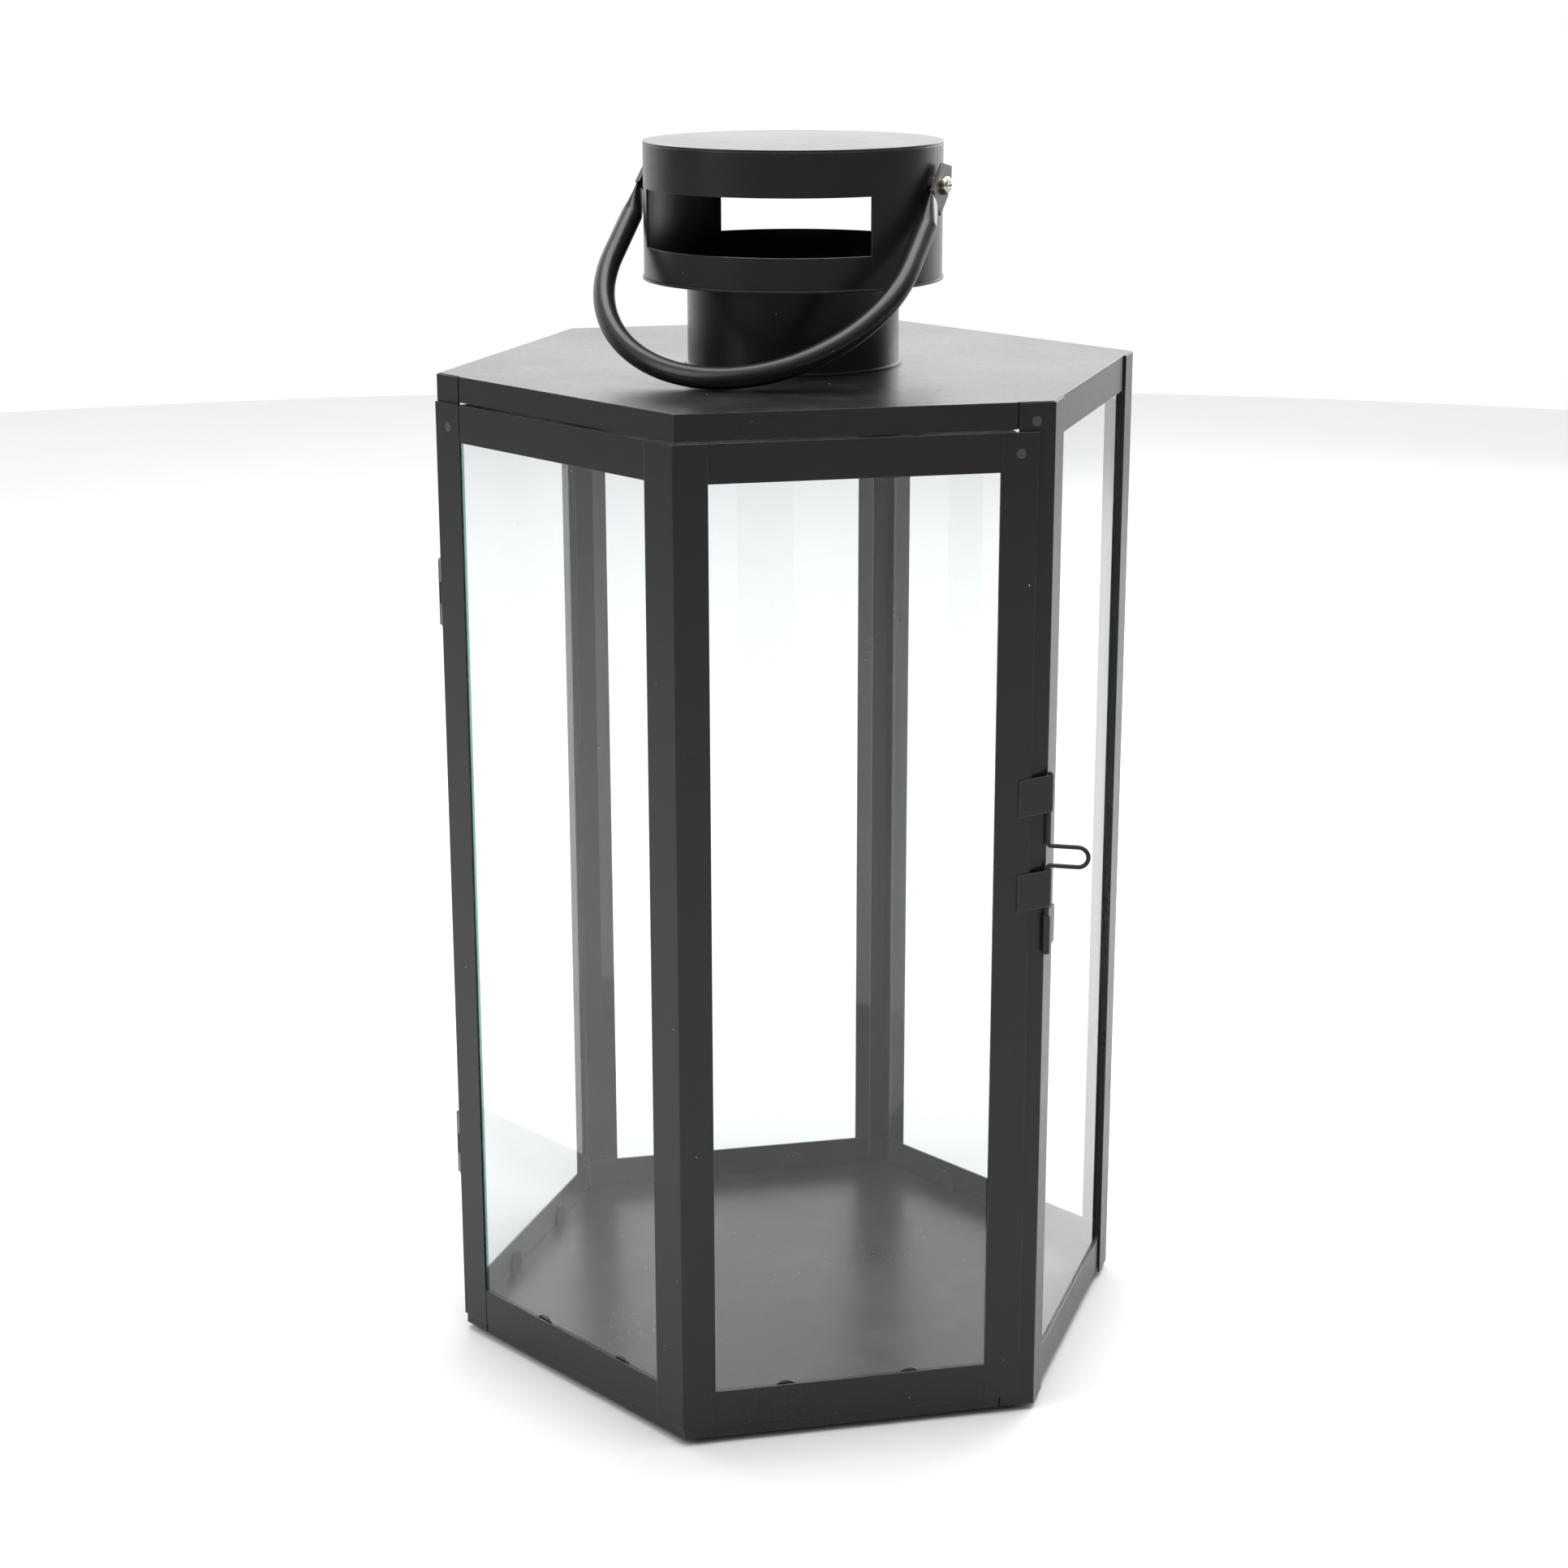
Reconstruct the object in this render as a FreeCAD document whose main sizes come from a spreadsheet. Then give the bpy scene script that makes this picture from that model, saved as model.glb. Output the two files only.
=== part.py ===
"""Hexagonal candle lantern: a glazed sheet-metal cage with a two-faced door, a vent drum and a bail.

Frame: millimetres, +Z up, origin on the ground under the middle of the cage. Seen from above, the corners
V1 to V6 of the hexagon lie at 180, 240, 300, 0, 60 and 120 degrees. The face V2-V3 looks along -Y. The
faces V1-V2 and V2-V3 together are the door, which is hinged at V1 and latched at V3.

Heights in the sheet are counted from the lower rim of the cage, which stands on the feet. A sketch on a
face of the hexagon is drawn as if that face looked along -Y, and its body or its sketch is then turned.
"""

import FreeCAD, Part
import Sketcher

import os
import re

Vector = FreeCAD.Vector

# Name, size in millimetres or degrees, meaning.
SIZES = (
    ("corner_radius", 160, "centre to the outer corner of a post"),
    ("sheet_thickness", 1, "folded sheet of posts, door, roof and tray"),
    ("bend_radius", 0.8, "outside radius of a fold in the sheet"),
    ("fit_gap", 0.06, "slip between nested sheets and panes"),

    ("foot_radius", 6.5, "rubber foot"),
    ("foot_height", 3, "rim of the cage above the ground"),
    ("foot_round", 2, "rounding of a foot's lower edge"),
    ("foot_edge_gap", 0.3, "front foot to the wall of the tray"),
    ("foot_corner_inset", 10.8, "front foot back from the corner V3"),
    ("foot_face_inset", 12.6, "side foot back from the middle of its face"),

    ("post_flange", 15.5, "width of each flange of a post"),
    ("post_drop", 0.3, "top of a post below the top of the roof"),
    ("floor_height", 5, "upper side of the tray's floor above the rim"),
    ("tray_wall_top", 18.5, "upper edge of the tray's walls"),
    ("tray_wall_bottom", 2, "lower edge of the tray's walls"),
    ("seam_gap", 1, "lip or skirt to the flange of the next post"),
    ("seam_lap", 1, "strip behind that gap past the end of the lip or skirt"),

    ("roof_height", 454.4, "top of the roof above the rim"),
    ("skirt_depth", 16, "skirt of the roof over the fixed faces"),
    ("door_skirt_depth", 11.2, "skirt of the roof over the door"),

    ("pane_thickness", 2, "glass"),
    ("fixed_pane_corner_gap", 8.5, "fixed pane back from the corners of its face"),
    ("fixed_pane_head_gap", 0.5, "fixed pane to the roof"),
    ("tab_width", 11, "width of a retaining tab"),
    ("tab_height", 9.7, "height of a tab above the floor"),
    ("tab_spread", 29, "tab to the middle of its face"),

    ("door_gap", 0.3, "posts to the back of the door frame"),
    ("door_head_gap", 1, "skirt to the top of the door"),
    ("door_sill_gap", 0.3, "floor to the bottom of the door"),
    ("hinge_stile_width", 16.7, "stile at V1"),
    ("hinge_stile_setback", 0.3, "stile back from the corner V1"),
    ("corner_stile_front", 14.5, "front flange of the stile at V2"),
    ("corner_stile_side", 18, "side flange of the stile at V2"),
    ("latch_stile_width", 16, "stile at V3"),
    ("latch_stile_setback", 7.5, "stile back from the corner V3"),
    ("rail_recess", 0.2, "rails behind the front of the stiles"),
    ("top_rail_height", 16.5, "upper rail"),
    ("bottom_rail_height", 17, "lower rail"),
    ("rail_flange", 8, "inward flange on the upper rail"),
    ("rail_end_gap", 1, "end of that flange to the flange of a post"),
    ("mitre_gap", 0.2, "between the two rail flanges at V2"),
    ("door_pane_lift", 1.5, "door pane above the floor"),
    ("door_pane_head_gap", 0.5, "door pane to the flange of the rail"),
    ("door_pane_corner_gap", 8, "door pane back from the corner V2"),
    ("door_pane_side_gap", 0.3, "door pane to the flange of a post"),
    ("clip_width", 11, "width of a door clip"),
    ("clip_top", 23, "top of a door clip above the rim"),
    ("clip_near", 46, "first clip from the corner V2"),
    ("clip_far", 102.4, "second clip from the corner V2"),

    ("hinge_height", 30, "length of a hinge"),
    ("hinge_inset", 71.2, "hinge from the end of the door"),
    ("hinge_leaf_thickness", 0.8, "sheet of the fixed leaf"),
    ("hinge_leaf_near", 5.2, "fixed leaf from the corner V1"),
    ("hinge_leaf_far", 13, "far edge of the fixed leaf"),
    ("hinge_axis_back", 3, "hinge axis from V1 along the fixed face"),
    ("hinge_axis_out", 1.75, "hinge axis out from the fixed face"),
    ("hinge_barrel_radius", 1.6, "outside of a knuckle"),
    ("hinge_pin_radius", 1, "hinge pin"),
    ("hinge_bore_gap", 0.06, "pin to the bore of a knuckle"),
    ("hinge_pin_proud", 0.5, "pin past the end of its hinge"),
    ("knuckle_gap", 0.2, "between knuckles"),
    ("knuckle_rim", 0.1, "outside of a knuckle to the root of its web"),
    ("hinge_web_past", 1, "web of a knuckle past the corner V1"),

    ("latch_axis_beyond", 0.3, "bolt axis past the corner V3"),
    ("latch_axis_out", 2.24, "bolt axis out from the front face"),
    ("latch_sheet", 0.8, "sheet of straps and keeper"),
    ("latch_barrel_radius", 1.7, "outside of the rolled guides"),
    ("latch_wire_radius", 1, "wire of the bolt"),
    ("latch_bore_gap", 0.08, "wire to the bore of a guide"),
    ("strap_height", 16.3, "height of a guide strap"),
    ("strap_lean", 10, "slope of a strap down to its foot"),
    ("strap_foot", 4.5, "strap on the stile"),
    ("strap_edge_gap", 1, "foot of a strap from the edge of the stile"),
    ("strap_spacing", 26, "between the two straps"),
    ("keeper_bottom", 215.5, "lower end of the keeper"),
    ("keeper_height", 17, "height of the keeper"),
    ("keeper_leaf", 16, "leaf of the keeper on the post"),
    ("keeper_gap", 4.9, "keeper to the lower strap"),
    ("bolt_depth", 12.5, "bolt inside the keeper"),
    ("bolt_rest_gap", 0.6, "loop of the bolt over the lower strap"),
    ("bolt_proud", 0.9, "bolt past the upper strap"),
    ("bolt_bend", 1.2, "bend of the wire at the stem"),
    ("loop_reach", 18.3, "axis of the bolt to the tip of its loop"),
    ("loop_radius", 4.4, "turn at the tip of the loop"),
    ("loop_angle", 25, "loop to the front of the +X axis"),

    ("neck_radius", 47.2, "outside of the neck"),
    ("neck_height", 37.8, "roof to the drum"),
    ("neck_lip", 1.3, "lip round the foot of the neck"),
    ("drum_radius", 66.2, "outside of the drum"),
    ("drum_height", 59.7, "drum with its floor and its top"),
    ("drum_hem", 0.7, "floor of the drum past its wall"),
    ("slot_rise", 14.8, "slots above the floor of the drum"),
    ("slot_height", 25, "height of the slots"),
    ("slot_angle", -35, "direction of one strip between the slots"),
    ("strip_angle", 74, "width of a strip between the slots"),

    ("pivot_angle", -35, "direction of the bail's axis"),
    ("pivot_rise", 42, "bail's axis above the floor of the drum"),
    ("screw_radius", 2, "shank of a pivot screw"),
    ("screw_gap", 0.08, "shank to the holes it passes"),
    ("head_radius", 4, "pan head of the screw"),
    ("head_height", 2.6, "pan head of the screw"),
    ("head_round", 1.5, "rounding of the pan head"),
    ("recess_length", 4.6, "cross recess in the head"),
    ("recess_width", 0.9, "arm of the cross recess"),
    ("recess_depth", 1.1, "depth of the cross recess"),
    ("nut_flats", 7, "across the flats of a nut"),
    ("nut_thickness", 2.2, "thickness of a nut"),
    ("nut_seat_gap", 0.12, "nut to the wall of the drum"),
    ("thread_end", 1, "screw past the inner nut"),
    ("ear_thickness", 2, "flattened end of the bail"),
    ("ear_width", 14.4, "flattened end of the bail"),
    ("ear_side_gap", 0.2, "ear to the outer nut"),
    ("ear_head_gap", 0.1, "ear to the head of the screw"),
    ("ear_tip", 12.5, "tip of the ear past the axis"),
    ("ear_shoulder", 6, "full width of the ear past the axis"),
    ("ear_flat", 11, "flat of the ear this side of the axis"),
    ("ear_taper", 14, "from the flat to the round tube"),
    ("bail_tube_radius", 4.8, "tube of the bail"),
    ("bail_leg", 49.8, "axis to the start of the bail's half circle"),
    ("bail_rest_gap", 0.3, "bail to the roof it lies on"),
)

doc = FreeCAD.newDocument("CandleLantern")
sheet = doc.addObject("Spreadsheet::Sheet", "Sizes")
for row, (alias, size, meaning) in enumerate(SIZES, start=1):
    sheet.set(f"A{row}", alias)
    sheet.set(f"B{row}", str(size))
    sheet.set(f"C{row}", meaning)
    sheet.setAlias(f"B{row}", alias)
doc.recompute()

SIZE_NAMES = {alias for alias, size, meaning in SIZES}
sub_parts = []


# ---- formulas ------------------------------------------------------------------------------------------

def bound(formula):
    """Write each size name in a formula as its cell in the sheet."""
    def cell(word):
        return f"Sizes.{word[0]}" if word[0] in SIZE_NAMES else word[0]

    return re.sub(r"[a-z_]+", cell, formula)


def value(formula):
    """Work a formula out, in millimetres or degrees."""
    answer = sheet.evalExpression(bound(formula))
    return answer.Value if hasattr(answer, "Value") else float(answer)


def turned(x, y, degrees):
    """A point turned about the vertical through the origin."""
    return (
        f"(({x}) * cos({degrees}) - ({y}) * sin({degrees}))",
        f"(({x}) * sin({degrees}) + ({y}) * cos({degrees}))",
    )


def hexagon_corner(apothem, degrees):
    """A corner of the hexagon with this apothem."""
    return (
        f"(({apothem}) / cos(30) * cos({degrees}))",
        f"(({apothem}) / cos(30) * sin({degrees}))",
    )


HALF_FACE = "(corner_radius / 2)"
POST_FACE = "(corner_radius * cos(30))"
POST_BACK = f"({POST_FACE} - sheet_thickness)"
TRAY_FACE = f"({POST_BACK} - fit_gap)"
TRAY_BACK = f"({TRAY_FACE} - sheet_thickness)"
SEAM_EDGE = f"({HALF_FACE} - post_flange - seam_gap)"
FLOOR_UNDER = "(floor_height - sheet_thickness)"
ROOF_UNDER = "(roof_height - sheet_thickness)"

PANE_FACE = f"({TRAY_BACK} - fit_gap)"
PANE_BACK = f"({PANE_FACE} - pane_thickness)"

DOOR_TOP = "(roof_height - door_skirt_depth - door_head_gap)"
DOOR_BOTTOM = "(floor_height + door_sill_gap)"
STILE_BACK = f"({POST_FACE} + door_gap)"
STILE_FACE = f"({STILE_BACK} + sheet_thickness)"
STILE_CORNER = f"({STILE_FACE} * tan(30))"
RAIL_FACE = f"({STILE_FACE} - rail_recess)"
RAIL_BACK = f"({STILE_BACK} - rail_recess)"
DOOR_PANE_FACE = f"({RAIL_BACK} - fit_gap)"
DOOR_PANE_BACK = f"({DOOR_PANE_FACE} - pane_thickness)"
HINGE_STILE_START = f"(hinge_stile_setback - {HALF_FACE})"
HINGE_STILE_END = f"({HINGE_STILE_START} + hinge_stile_width)"
LATCH_STILE_END = f"({HALF_FACE} - latch_stile_setback)"
LATCH_STILE_START = f"({LATCH_STILE_END} - latch_stile_width)"

HINGE_BOTTOMS = (
    f"({DOOR_TOP} - hinge_inset - hinge_height)",
    f"({DOOR_BOTTOM} + hinge_inset)",
)
HINGE_BORE = "(hinge_pin_radius + hinge_bore_gap)"

LATCH_X = f"({HALF_FACE} + latch_axis_beyond)"
LATCH_Y = f"({POST_FACE} + latch_axis_out)"
LATCH_BORE = "(latch_wire_radius + latch_bore_gap)"
KEEPER_TOP = "(keeper_bottom + keeper_height)"
LOWER_STRAP = f"({KEEPER_TOP} + keeper_gap)"
UPPER_STRAP = f"({LOWER_STRAP} + strap_height + strap_spacing)"
LOOP_BOTTOM = f"({LOWER_STRAP} + strap_height + bolt_rest_gap + latch_wire_radius)"
LOOP_TOP = f"({LOOP_BOTTOM} + 2 * loop_radius)"

NECK_BORE = "(neck_radius - sheet_thickness)"
DRUM_BOTTOM = "(roof_height + neck_height)"
DRUM_TOP = f"({DRUM_BOTTOM} + drum_height)"
DRUM_BORE = "(drum_radius - sheet_thickness)"
PIVOT_HEIGHT = f"({DRUM_BOTTOM} + pivot_rise)"
SCREW_HOLE = "(screw_radius + screw_gap)"
OUTER_NUT = "(drum_radius + nut_seat_gap)"
INNER_NUT = f"(sqrt({DRUM_BORE}^2 - (nut_flats / 2 / cos(30))^2) - nut_seat_gap - nut_thickness)"
EAR_BACK = f"({OUTER_NUT} + nut_thickness + ear_side_gap)"
BAIL_RADIUS = f"({EAR_BACK} + ear_thickness / 2)"
HEAD_SEAT = f"({EAR_BACK} + ear_thickness + ear_head_gap)"
BAIL_TILT = (
    f"asin(({PIVOT_HEIGHT} - roof_height - bail_rest_gap - bail_tube_radius)"
    f" / (bail_leg + {BAIL_RADIUS}))"
)


# ---- bodies, sketches and features ---------------------------------------------------------------------

def sub_part(label, turn="0", roll="0", x="0", y="0", height="0"):
    """A body turned about the vertical, with its height counted from the rim of the cage."""
    body = doc.addObject("PartDesign::Body", label)
    body.Label = label
    body.setExpression("Placement.Base.x", bound(x))
    body.setExpression("Placement.Base.y", bound(y))
    body.setExpression("Placement.Base.z", bound(f"foot_height + {height}"))
    body.setExpression("Placement.Rotation.Yaw", bound(turn))
    body.setExpression("Placement.Rotation.Roll", bound(roll))
    sub_parts.append(body)
    return body


def origin_item(body, role):
    """A plane or axis of the body's own origin."""
    return next(item for item in body.Origin.OriginFeatures if item.Role == role)


def new_sketch(body, name, plane="XY_Plane", level="0", turn="0"):
    """A sketch at a level above one of the body's own planes, turned about that plane's normal."""
    sketch = body.newObject("Sketcher::SketchObject", name)
    sketch.AttachmentSupport = [(origin_item(body, plane), "")]
    sketch.MapMode = "FlatFace"
    sketch.setExpression("AttachmentOffset.Base.z", bound(level))
    sketch.setExpression("AttachmentOffset.Rotation.Yaw", bound(turn))
    return sketch


def bind_distance(sketch, axis, geometry, end, formula):
    """Bind one coordinate of a point of the sketch to a formula."""
    number = sketch.addConstraint(
        Sketcher.Constraint(f"Distance{axis}", -1, 1, geometry, end, value(formula))
    )
    sketch.setExpression(f"Constraints[{number}]", bound(formula))


def bind_radius(sketch, geometry, formula):
    """Bind the radius of a circle of the sketch to a formula."""
    number = sketch.addConstraint(Sketcher.Constraint("Radius", geometry, value(formula)))
    sketch.setExpression(f"Constraints[{number}]", bound(formula))


def add_arc(sketch, start, end, centre):
    """Add the arc of at most half a turn from start to end, and say which of its ends is the start."""
    spoke = start - centre
    across = end - centre
    counter_clockwise = spoke.cross(across).z >= 0
    first, last = (spoke, across) if counter_clockwise else (across, spoke)
    circle = Part.Circle(centre, Vector(0, 0, 1), spoke.Length)
    arc = Part.ArcOfCircle(circle, circle.parameter(centre + first), circle.parameter(centre + last))
    return sketch.addGeometry(arc, False), counter_clockwise


def chain(sketch, points, closed=True):
    """Draw lines through the points. A point with a third item is reached by an arc about that centre."""
    places = [Vector(value(point[0]), value(point[1]), 0) for point in points]
    edges = []
    for index in range(1, len(points) + int(closed)):
        target = index % len(points)
        start, end = places[index - 1], places[target]
        if len(points[target]) == 3:
            centre_x, centre_y = points[target][2]
            centre = Vector(value(centre_x), value(centre_y), 0)
            edge, forward = add_arc(sketch, start, end, centre)
            level = abs(end.x - start.x) >= abs(end.y - start.y)
            bind_distance(sketch, "Y" if level else "X", edge, 3, centre_y if level else centre_x)
        else:
            edge = sketch.addGeometry(Part.LineSegment(start, end), False)
            forward = True
        edges.append((edge, 1 if forward else 2, 2 if forward else 1))
    for index, (edge, first, last) in enumerate(edges):
        bind_distance(sketch, "X", edge, first, points[index][0])
        bind_distance(sketch, "Y", edge, first, points[index][1])
        if index + 1 < len(edges) or closed:
            after, after_first, after_last = edges[(index + 1) % len(edges)]
            sketch.addConstraint(Sketcher.Constraint("Coincident", edge, last, after, after_first))
        else:
            bind_distance(sketch, "X", edge, last, points[-1][0])
            bind_distance(sketch, "Y", edge, last, points[-1][1])


def circle(sketch, radius, x="0", y="0"):
    """Draw a circle."""
    centre = Vector(value(x), value(y), 0)
    number = sketch.addGeometry(Part.Circle(centre, Vector(0, 0, 1), value(radius)), False)
    bind_distance(sketch, "X", number, 3, x)
    bind_distance(sketch, "Y", number, 3, y)
    bind_radius(sketch, number, radius)


def rectangle(sketch, left, right, low, high):
    """Draw a rectangle between two pairs of coordinates."""
    chain(sketch, ((left, low), (right, low), (right, high), (left, high)))


def settled(feature):
    """Work a new feature out and stop if it has failed."""
    doc.recompute()
    if not feature.isValid() or feature.Shape.isNull():
        raise RuntimeError(f"{feature.getParentGeoFeatureGroup().Label}: {feature.Label} has failed")
    return feature


def pad(body, name, sketch, length, backward=False):
    """Raise the sketch along its normal, or against it."""
    feature = body.newObject("PartDesign::Pad", name)
    feature.Profile = sketch
    feature.setExpression("Length", bound(length))
    feature.Reversed = backward
    return settled(feature)


def pocket(body, name, sketch, depth, backward=False):
    """Cut the sketch into the body against its normal, or along it, and make sure that it cuts."""
    before = body.Tip.Shape.Volume
    feature = body.newObject("PartDesign::Pocket", name)
    feature.Profile = sketch
    feature.setExpression("Length", bound(depth))
    feature.Reversed = backward
    settled(feature)
    if feature.Shape.Volume >= before:
        raise ValueError(f"{body.Label}: {name} cuts nothing")
    return feature


def repeat_about_z(body, name, features, count, angle=360):
    """Repeat features about the body's own vertical axis."""
    pattern = body.newObject("PartDesign::PolarPattern", name)
    pattern.Originals = features
    pattern.Axis = (origin_item(body, "Z_Axis"), [""])
    pattern.Angle = angle
    pattern.Occurrences = count
    body.Tip = pattern
    return settled(pattern)


def mirror_across(body, name, features, plane):
    """Mirror features across one of the body's own planes."""
    mirrored = body.newObject("PartDesign::Mirrored", name)
    mirrored.Originals = features
    mirrored.MirrorPlane = (origin_item(body, plane), [""])
    body.Tip = mirrored
    return settled(mirrored)


def round_edges(body, name, radius, wanted):
    """Fillet the edges whose ends and middle all satisfy a test, in the body's own frame."""
    base = body.Tip
    names = []
    for number, edge in enumerate(base.Shape.Edges, start=1):
        places = [edge.valueAt(edge.FirstParameter), edge.valueAt(edge.LastParameter)]
        places.append(edge.valueAt((edge.FirstParameter + edge.LastParameter) / 2))
        if all(wanted(place) for place in places):
            names.append(f"Edge{number}")
    feature = body.newObject("PartDesign::Fillet", name)
    feature.Base = (base, names)
    feature.setExpression("Radius", bound(radius))
    return settled(feature)


def near(first, second):
    """Whether two lengths are the same but for rounding."""
    return abs(first - second) < 1e-4


# ---- posts ---------------------------------------------------------------------------------------------

def fold(sketch, outer, inner, left, right):
    """Section of a sheet folded round the corner on the +X axis, with the width of each flange."""
    tip = f"({outer} / cos(30))"
    root = f"({inner} / cos(30))"
    skin = "sheet_thickness"

    def flange_end(width, side):
        outer_end = (f"({tip} - {width} * sin(30))", f"{side} * {width} * cos(30)")
        inner_end = (
            f"({tip} - {width} * sin(30) - {skin} * cos(30))",
            f"{side} * ({width} * cos(30) - {skin} * sin(30))",
        )
        return outer_end, inner_end

    left_outer, left_inner = flange_end(left, 1)
    right_outer, right_inner = flange_end(right, -1)
    chain(sketch, ((tip, "0"), left_outer, left_inner, (root, "0"), right_inner, right_outer))


def round_fold(body, outer):
    """Round the outer corner of a folded strip."""
    tip = value(f"{outer} / cos(30)")
    round_edges(body, "Bend", "bend_radius", lambda place: near(place.x, tip) and near(place.y, 0))


def corner_post(name, turn):
    """Angle strip at one corner of the cage."""
    body = sub_part(f"post_{name}", turn=turn)
    section = new_sketch(body, "Section")
    fold(section, POST_FACE, POST_BACK, "post_flange", "post_flange")
    pad(body, "Strip", section, "roof_height - post_drop")
    round_fold(body, POST_FACE)


POST_ANGLES = {"hinge_side": "180", "latch_side": "-60", "right": "0", "back_right": "60", "back_left": "120"}
for post_name, post_angle in POST_ANGLES.items():
    corner_post(post_name, post_angle)


# ---- tray and roof -------------------------------------------------------------------------------------

FIXED_CORNER_ANGLES = (-60, 0, 60, 120, 180)
DOOR_CORNER_ANGLE = -120


def sheet_outline():
    """Outline of floor or roof: out to the face over the door, and inside the posts everywhere else."""
    front_end = (SEAM_EDGE, f"-{POST_FACE}")
    front_step = (SEAM_EDGE, f"-{TRAY_FACE}")
    side_end = turned(f"-{SEAM_EDGE}", f"-{POST_FACE}", -60)
    side_step = turned(f"-{SEAM_EDGE}", f"-{TRAY_FACE}", -60)
    inside = [hexagon_corner(TRAY_FACE, corner) for corner in FIXED_CORNER_ANGLES]
    return [hexagon_corner(POST_FACE, DOOR_CORNER_ANGLE), front_end, front_step, *inside, side_step, side_end]


def fixed_wall(sketch):
    """Section of the wall along the four fixed faces, inside the posts."""
    outside = [hexagon_corner(TRAY_FACE, corner) for corner in FIXED_CORNER_ANGLES]
    inside = [hexagon_corner(TRAY_BACK, corner) for corner in reversed(FIXED_CORNER_ANGLES)]
    chain(sketch, outside + inside)


def door_wall(sketch):
    """Section of the wall along the two faces of the door, level with the posts."""
    chain(sketch, (
        hexagon_corner(POST_FACE, DOOR_CORNER_ANGLE),
        (SEAM_EDGE, f"-{POST_FACE}"),
        (SEAM_EDGE, f"-{POST_BACK}"),
        hexagon_corner(POST_BACK, DOOR_CORNER_ANGLE),
        turned(f"-{SEAM_EDGE}", f"-{POST_BACK}", -60),
        turned(f"-{SEAM_EDGE}", f"-{POST_FACE}", -60),
    ))


def seam_strips(sketch):
    """Sections of the strips behind the gaps between that wall and the posts."""
    lap_edge = f"({SEAM_EDGE} - seam_lap)"
    chain(sketch, (
        (lap_edge, f"-{TRAY_FACE}"),
        hexagon_corner(TRAY_FACE, -60),
        hexagon_corner(TRAY_BACK, -60),
        (lap_edge, f"-{TRAY_BACK}"),
    ))
    chain(sketch, (
        turned(f"-{lap_edge}", f"-{TRAY_FACE}", -60),
        hexagon_corner(TRAY_FACE, 180),
        hexagon_corner(TRAY_BACK, 180),
        turned(f"-{lap_edge}", f"-{TRAY_BACK}", -60),
    ))


def base_tray():
    """Floor with walls up inside the fixed faces and a lip down under the door."""
    body = sub_part("base_tray")
    floor = new_sketch(body, "FloorOutline", level=FLOOR_UNDER)
    chain(floor, sheet_outline())
    pad(body, "Floor", floor, "sheet_thickness")
    walls = new_sketch(body, "WallSection", level="tray_wall_bottom")
    fixed_wall(walls)
    pad(body, "Walls", walls, "tray_wall_top - tray_wall_bottom")
    lip = new_sketch(body, "LipSection")
    door_wall(lip)
    pad(body, "Lip", lip, "floor_height")
    strips = new_sketch(body, "SeamStripSections")
    seam_strips(strips)
    pad(body, "SeamStrips", strips, "floor_height")


def roof_cover():
    """Flat roof with skirts down all round and a hole under the neck."""
    body = sub_part("roof_cover")
    plate = new_sketch(body, "PlateOutline", level=ROOF_UNDER)
    chain(plate, sheet_outline())
    pad(body, "Plate", plate, "sheet_thickness")
    skirt = new_sketch(body, "SkirtSection", level="roof_height - skirt_depth")
    fixed_wall(skirt)
    pad(body, "Skirt", skirt, "skirt_depth")
    door_skirt = new_sketch(body, "DoorSkirtSection", level="roof_height - door_skirt_depth")
    door_wall(door_skirt)
    pad(body, "DoorSkirt", door_skirt, "door_skirt_depth")
    strips = new_sketch(body, "SeamStripSections", level="roof_height - door_skirt_depth")
    seam_strips(strips)
    pad(body, "SeamStrips", strips, "door_skirt_depth")
    hole = new_sketch(body, "NeckHoleCircle", level="roof_height")
    circle(hole, NECK_BORE)
    pocket(body, "NeckHole", hole, "sheet_thickness")


base_tray()
roof_cover()


# ---- feet ----------------------------------------------------------------------------------------------

def feet():
    """Four rubber feet under the floor, in two pairs opposite each other."""
    body = sub_part("feet")
    front = new_sketch(body, "FrontFoot", level="-foot_height")
    front_y = f"-({TRAY_BACK} - foot_edge_gap - foot_radius)"
    circle(front, "foot_radius", f"({HALF_FACE} - foot_corner_inset)", front_y)
    first = pad(body, "Front", front, f"foot_height + {FLOOR_UNDER}")
    side = new_sketch(body, "SideFoot", level="-foot_height", turn="-60")
    circle(side, "foot_radius", "0", f"-({POST_FACE} - foot_face_inset)")
    second = pad(body, "Side", side, f"foot_height + {FLOOR_UNDER}")
    repeat_about_z(body, "Opposite", [first, second], 2)
    ground = value("-foot_height")
    round_edges(body, "Round", "foot_round", lambda place: near(place.z, ground))


feet()


# ---- fixed glazing -------------------------------------------------------------------------------------

FIXED_FACE_ANGLES = {"right": "60", "back_right": "120", "back_left": "180", "left": "-120"}


def fixed_pane(name, turn):
    """Pane that stands on the floor behind two posts."""
    body = sub_part(f"pane_{name}", turn=turn)
    section = new_sketch(body, "Section", level="floor_height")
    edge = f"({HALF_FACE} - fixed_pane_corner_gap)"
    rectangle(section, f"-{edge}", edge, f"-{PANE_FACE}", f"-{PANE_BACK}")
    pad(body, "Glass", section, f"{ROOF_UNDER} - fixed_pane_head_gap - floor_height")


def round_topped(sketch, middle, width, low, high):
    """Upright strip with a half-round top."""
    left = f"({middle} - {width} / 2)"
    right = f"({middle} + {width} / 2)"
    shoulder = f"({high} - {width} / 2)"
    chain(sketch, ((left, low), (right, low), (right, shoulder), (left, shoulder, (middle, shoulder))))


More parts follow.
